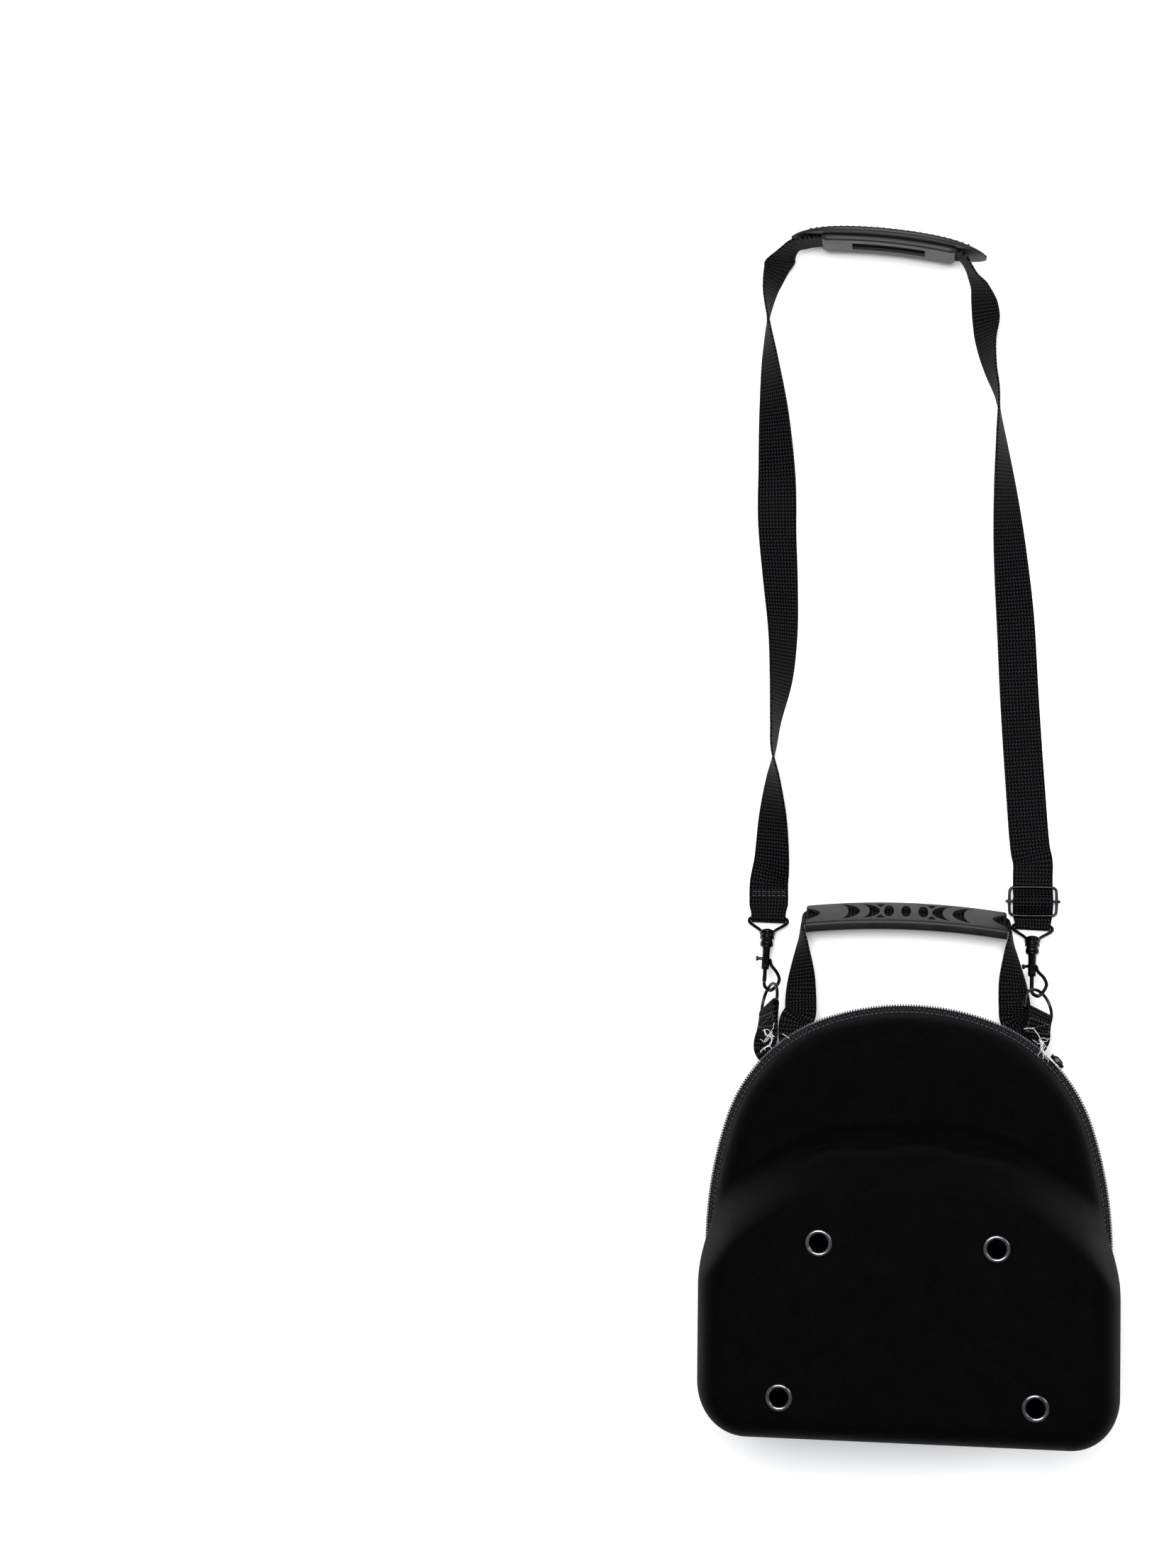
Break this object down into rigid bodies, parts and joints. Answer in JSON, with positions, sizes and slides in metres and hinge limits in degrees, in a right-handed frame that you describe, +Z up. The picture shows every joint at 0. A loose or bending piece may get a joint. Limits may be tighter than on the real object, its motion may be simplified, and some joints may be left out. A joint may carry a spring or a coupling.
{
  "type": "moulded hat bag",
  "caption": "Moulded-shell headwear carry case with a zip round its rim, webbing handle with a rubber grip, and a clip-on shoulder strap with pad.",
  "frame": {"origin": "centre of the flat back panel, on the surface that the bag lies on", "axes": "+X to the right as seen from above, +Y from the bag to the strap's pad, +Z up, out of the front panel"},
  "size_m": [0.2494, 0.7408, 0.1546],
  "materials": {
    "shell": "woven polyester over moulded foam",
    "tape": "woven zip tape",
    "zip_teeth": "moulded coil, slight sheen",
    "webbing": "woven webbing",
    "metal": "black nickel plated",
    "grip": "moulded, matt"
  },
  "bodies": {
    "bag": {"front_shell": "shell", "back_shell": "shell", "eyelet_upper_left": "metal", "eyelet_upper_right": "metal", "eyelet_lower_left": "metal", "eyelet_lower_right": "metal", "zip_front_tape": "tape", "zip_back_tape": "tape", "zip_chain": "zip_teeth", "zip_slider": "metal", "bottom_hinge": "tape", "handle_webbing": "webbing", "handle_grip": "grip", "strap_webbing": "webbing", "strap_adjuster": "metal", "shoulder_pad": "grip", "left_tab": "webbing", "left_tab_ring": "metal", "left_strap_bail": "metal", "right_tab": "webbing", "right_tab_ring": "metal", "right_strap_bail": "metal"},
    "left_hook": {"left_hook": "metal"},
    "left_hook_bolt": {"left_hook_bolt": "metal"},
    "right_hook": {"right_hook": "metal"},
    "right_hook_bolt": {"right_hook_bolt": "metal"}
  },
  "joints": [
    {"name": "left_swivel", "type": "hinge", "parent": "bag", "child": "left_hook", "pos_m": [-0.08999, 0.16823, 0.00795], "axis": [0.0224, 0.8542, -0.5195], "range_deg": [-10, 10]},
    {"name": "left_bolt_slide", "type": "slide", "parent": "left_hook", "child": "left_hook_bolt", "axis": [0.0224, 0.8542, -0.5195], "range_m": [0, 0.006], "stiffness_N_per_m": 150, "springref_m": -0.002},
    {"name": "right_swivel", "type": "hinge", "parent": "bag", "child": "right_hook", "pos_m": [0.07766, 0.16629, 0.00829], "axis": [0.0378, 0.8317, -0.554], "range_deg": [-10, 10]},
    {"name": "right_bolt_slide", "type": "slide", "parent": "right_hook", "child": "right_hook_bolt", "axis": [0.0378, 0.8317, -0.554], "range_m": [0, 0.006], "stiffness_N_per_m": 150, "springref_m": -0.002}
  ]
}
